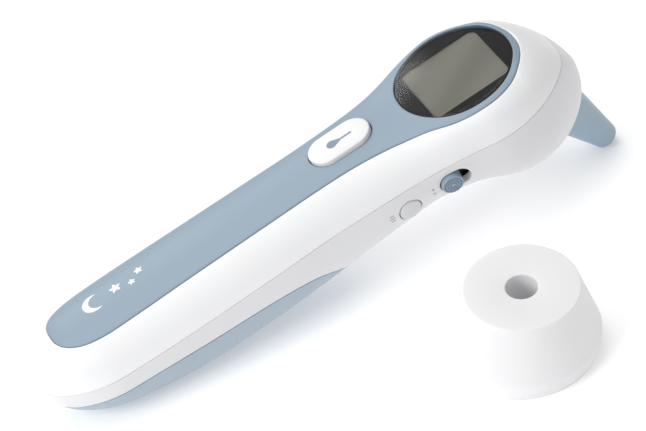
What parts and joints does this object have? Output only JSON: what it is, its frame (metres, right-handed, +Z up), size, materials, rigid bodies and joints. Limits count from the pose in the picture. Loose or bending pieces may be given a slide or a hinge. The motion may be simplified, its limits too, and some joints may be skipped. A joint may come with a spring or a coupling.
{
  "type": "digital ear thermometer",
  "caption": "Wand-shaped infrared ear thermometer with round display window, measuring button, side controls, conical probe and a separate forehead cap.",
  "frame": {"origin": "bottom centre of the bounding box of the thermometer and its cap, on the surface they rest on", "axes": "+X runs from the grip to the head, +Z is up, +Y is the side away from the side controls and the cap"},
  "size_m": [0.1635, 0.0986, 0.0459],
  "materials": {
    "white_shell": "satin moulded white",
    "blue_plastic": "satin moulded grey blue",
    "blue_probe": "satin moulded grey blue",
    "white_key": "smooth moulded white",
    "window": "polished dark tinted",
    "black_mask": "printed black",
    "lcd": "satin olive grey",
    "white_plastic": "moulded white",
    "zebra": "striped elastomer",
    "black_plastic": "moulded black",
    "steel": "plated",
    "board": "green lacquer",
    "cell_wrap": "wrapped can",
    "gold": "gilt",
    "dark_window": "infrared window"
  },
  "bodies": {
    "thermometer": {"front_shell": "white_shell", "rear_shell": "white_shell", "faceplate": "blue_plastic", "display_window": "window", "display_mask": "black_mask", "lcd_glass": "lcd", "lcd_frame": "white_plastic", "backlight_panel": "white_plastic", "zebra_strips": "zebra", "measure_switch": "steel", "main_pcb": "board", "pcb_chips": "black_plastic", "pcb_screws": "steel", "buzzer": "black_plastic", "memory_switch": "steel", "side_board": "board", "slide_switch_body": "steel", "battery_cell_left": "cell_wrap", "battery_cell_right": "cell_wrap", "battery_springs": "steel", "battery_plates": "steel", "case_screws": "steel", "probe_cone": "blue_probe", "probe_window": "dark_window", "waveguide_tube": "gold", "thermopile_can": "steel", "sensor_leads": "gold", "sensor_holder": "white_plastic"},
    "measure_key": {"measure_button": "white_key", "button_icon": "blue_plastic", "measure_plunger": "black_plastic"},
    "memory_key": {"memory_button": "white_key", "memory_plunger": "black_plastic"},
    "mode_slide": {"mode_slider": "blue_plastic", "slide_lever": "black_plastic"},
    "cover": {"battery_cover": "blue_plastic"},
    "cap": {"probe_cap": "white_shell"}
  },
  "joints": [
    {"name": "measure_press", "type": "slide", "parent": "thermometer", "child": "measure_key", "axis": [0.1706, 0, -0.9853], "range_m": [0, 0.0006], "stiffness_N_per_m": 800, "springref_m": -0.0003},
    {"name": "memory_press", "type": "slide", "parent": "thermometer", "child": "memory_key", "axis": [-0.0355, 0.9781, 0.2049], "range_m": [0, 0.0005], "stiffness_N_per_m": 600, "springref_m": -0.0003},
    {"name": "mode_slide_travel", "type": "slide", "parent": "thermometer", "child": "mode_slide", "axis": [0.9732, -0.1564, 0.1685], "range_m": [0, 0.0022]},
    {"name": "cover_slide", "type": "slide", "parent": "thermometer", "child": "cover", "axis": [-0.9853, 0, -0.1706], "range_m": [0, 0.01]},
    {"name": "cap_lift", "type": "slide", "parent": "thermometer", "child": "cap", "axis": [0, 0, 1], "range_m": [0, 0.06]}
  ]
}
